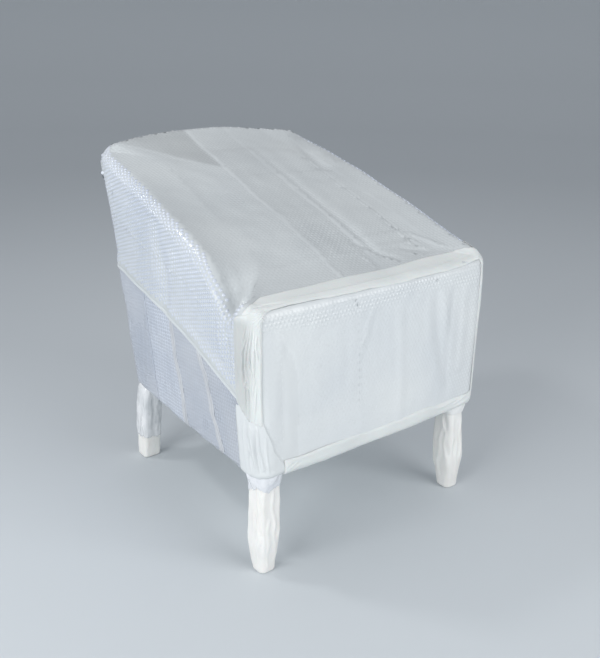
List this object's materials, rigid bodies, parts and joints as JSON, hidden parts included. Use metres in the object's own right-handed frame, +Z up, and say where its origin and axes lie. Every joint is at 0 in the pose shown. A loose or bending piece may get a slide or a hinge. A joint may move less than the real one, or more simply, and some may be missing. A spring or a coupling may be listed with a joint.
{
  "type": "wrapped armchair",
  "caption": "Armchair on legs, closed for shipping in bubble film over white foam, with foam strips on its front edges and film skirts and sleeves round its legs.",
  "frame": {"origin": "on the floor, under the middle of the box that holds the wrapped chair", "axes": "+X to the right as seen from the front, +Y to the chair's back, +Z up"},
  "size_m": [0.6808, 0.7336, 0.8308],
  "materials": {
    "foam": "white foam sheet, matt with a faint sheen",
    "bubble_film": "clear film with rows of round air bubbles, over white foam",
    "seam_film": "folded clear film, milky where it is doubled",
    "clear_film": "thin clear film, crinkled and glossy"
  },
  "bodies": {
    "root": {"padded_body": "foam", "top_sheet": "bubble_film", "front_sheet": "bubble_film", "back_sheet": "bubble_film", "left_rear_sheet": "bubble_film", "left_middle_sheet": "bubble_film", "left_front_sheet": "bubble_film", "right_side_sheet": "bubble_film", "rear_seam_strip": "seam_film", "front_seam_strip": "seam_film", "edge_band": "foam", "bottom_band": "foam", "corner_wrap": "bubble_film", "front_left_leg": "foam", "front_right_leg": "foam", "back_left_leg": "foam", "back_right_leg": "foam", "front_left_skirt": "clear_film", "front_right_skirt": "clear_film", "back_left_sleeve": "clear_film", "back_right_sleeve": "clear_film"}
  },
  "joints": []
}
